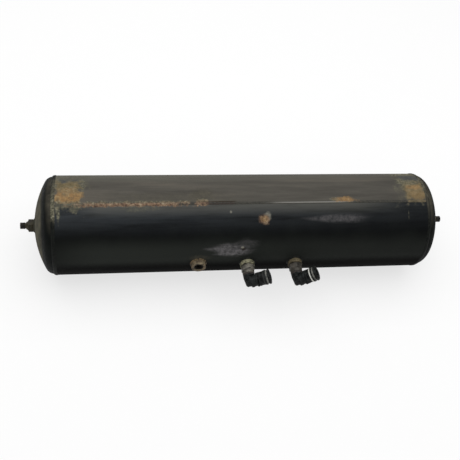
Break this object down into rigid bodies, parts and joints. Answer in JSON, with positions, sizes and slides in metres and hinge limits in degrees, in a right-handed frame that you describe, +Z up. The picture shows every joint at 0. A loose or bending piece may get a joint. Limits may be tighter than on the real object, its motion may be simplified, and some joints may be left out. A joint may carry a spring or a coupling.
{
  "type": "air receiver tank",
  "caption": "Welded steel air receiver with dished heads, threaded ports along one side, push-in swivel elbows and a test point in each end.",
  "frame": {"origin": "on the tank's axis at mid-length", "axes": "+X along the tank's axis, -Y the way the ports point, +Z up when the ports point sideways"},
  "size_m": [1.0998, 0.3213, 0.2478],
  "materials": {
    "black_enamel": "worn satin black enamel on steel sheet, rust-stained where the bands sat",
    "painted_weld": "black enamel over a rippled weld bead, with rust",
    "zinc_steel": "dull weathered zinc plate",
    "spring_steel": "bare spring steel",
    "brass": "clean turned brass",
    "tarnished_brass": "dark tarnished and dirty brass",
    "rubber": "black rubber",
    "black_nylon": "dusty black glass-filled nylon",
    "black_cap": "soft black plastic",
    "grey_acetal": "grey moulded plastic",
    "white_acetal": "white moulded plastic, dusty"
  },
  "bodies": {
    "tank": {"shell": "black_enamel", "shell_seam_weld": "painted_weld", "head_left": "black_enamel", "head_right": "black_enamel", "head_weld_left": "painted_weld", "head_weld_right": "painted_weld", "port_boss_1": "black_enamel", "port_boss_2": "black_enamel", "port_boss_3": "black_enamel", "port_boss_weld_1": "painted_weld", "port_boss_weld_2": "painted_weld", "port_boss_weld_3": "painted_weld", "end_boss_left": "black_enamel", "end_boss_right": "black_enamel", "end_boss_weld_left": "painted_weld", "end_boss_weld_right": "painted_weld", "elbow_1_stud": "zinc_steel", "elbow_1_stud_seal": "rubber", "elbow_1_swivel_clip": "spring_steel", "elbow_2_stud": "zinc_steel", "elbow_2_stud_seal": "rubber", "elbow_2_swivel_clip": "spring_steel", "test_point_left_body": "tarnished_brass", "test_point_left_seal": "rubber", "test_point_left_spring_retainer": "spring_steel", "test_point_left_valve_spring": "spring_steel", "test_point_right_body": "tarnished_brass", "test_point_right_seal": "rubber", "test_point_right_spring_retainer": "spring_steel", "test_point_right_valve_spring": "spring_steel"},
    "elbow_1": {"elbow_1_body": "black_nylon", "elbow_1_swivel_seal": "rubber", "elbow_1_support_sleeve": "brass", "elbow_1_tube_seal": "rubber", "elbow_1_backup_ring": "black_nylon", "elbow_1_grab_ring": "spring_steel", "elbow_1_marker_ring": "grey_acetal", "elbow_1_collar": "black_nylon"},
    "release_ring_1": {"elbow_1_release_ring": "black_nylon"},
    "elbow_2": {"elbow_2_body": "black_nylon", "elbow_2_swivel_seal": "rubber", "elbow_2_support_sleeve": "brass", "elbow_2_tube_seal": "rubber", "elbow_2_backup_ring": "black_nylon", "elbow_2_grab_ring": "spring_steel", "elbow_2_marker_ring": "white_acetal", "elbow_2_collar": "black_nylon"},
    "release_ring_2": {"elbow_2_release_ring": "black_nylon"},
    "valve_pin_left": {"test_point_left_valve_pin": "brass", "test_point_left_valve_seal": "rubber"},
    "cap_left": {"test_point_left_cap": "black_cap"},
    "valve_pin_right": {"test_point_right_valve_pin": "brass", "test_point_right_valve_seal": "rubber"},
    "cap_right": {"test_point_right_cap": "black_cap"}
  },
  "joints": [
    {"name": "elbow_1_swivel", "type": "hinge", "parent": "tank", "child": "elbow_1", "pos_m": [0.002, -0.1788, 0], "axis": [0, -1, 0], "continuous": true},
    {"name": "release_ring_1_press", "type": "slide", "parent": "elbow_1", "child": "release_ring_1", "axis": [-0.9063, 0, -0.4226], "range_m": [0, 0.0015], "stiffness_N_per_m": 400},
    {"name": "elbow_2_swivel", "type": "hinge", "parent": "tank", "child": "elbow_2", "pos_m": [0.124, -0.1788, 0], "axis": [0, -1, 0], "continuous": true},
    {"name": "release_ring_2_press", "type": "slide", "parent": "elbow_2", "child": "release_ring_2", "axis": [-0.7986, 0, -0.6018], "range_m": [0, 0.0015], "stiffness_N_per_m": 400},
    {"name": "valve_pin_left_press", "type": "slide", "parent": "tank", "child": "valve_pin_left", "axis": [1, 0, 0], "range_m": [0, 0.0025], "stiffness_N_per_m": 600, "deforming": ["test_point_left_valve_spring"]},
    {"name": "cap_left_pull_off", "type": "slide", "parent": "tank", "child": "cap_left", "axis": [-1, 0, 0], "range_m": [0, 0.014]},
    {"name": "valve_pin_right_press", "type": "slide", "parent": "tank", "child": "valve_pin_right", "axis": [-1, 0, 0], "range_m": [0, 0.0025], "stiffness_N_per_m": 600, "deforming": ["test_point_right_valve_spring"]},
    {"name": "cap_right_pull_off", "type": "slide", "parent": "tank", "child": "cap_right", "axis": [1, 0, 0], "range_m": [0, 0.014]}
  ]
}
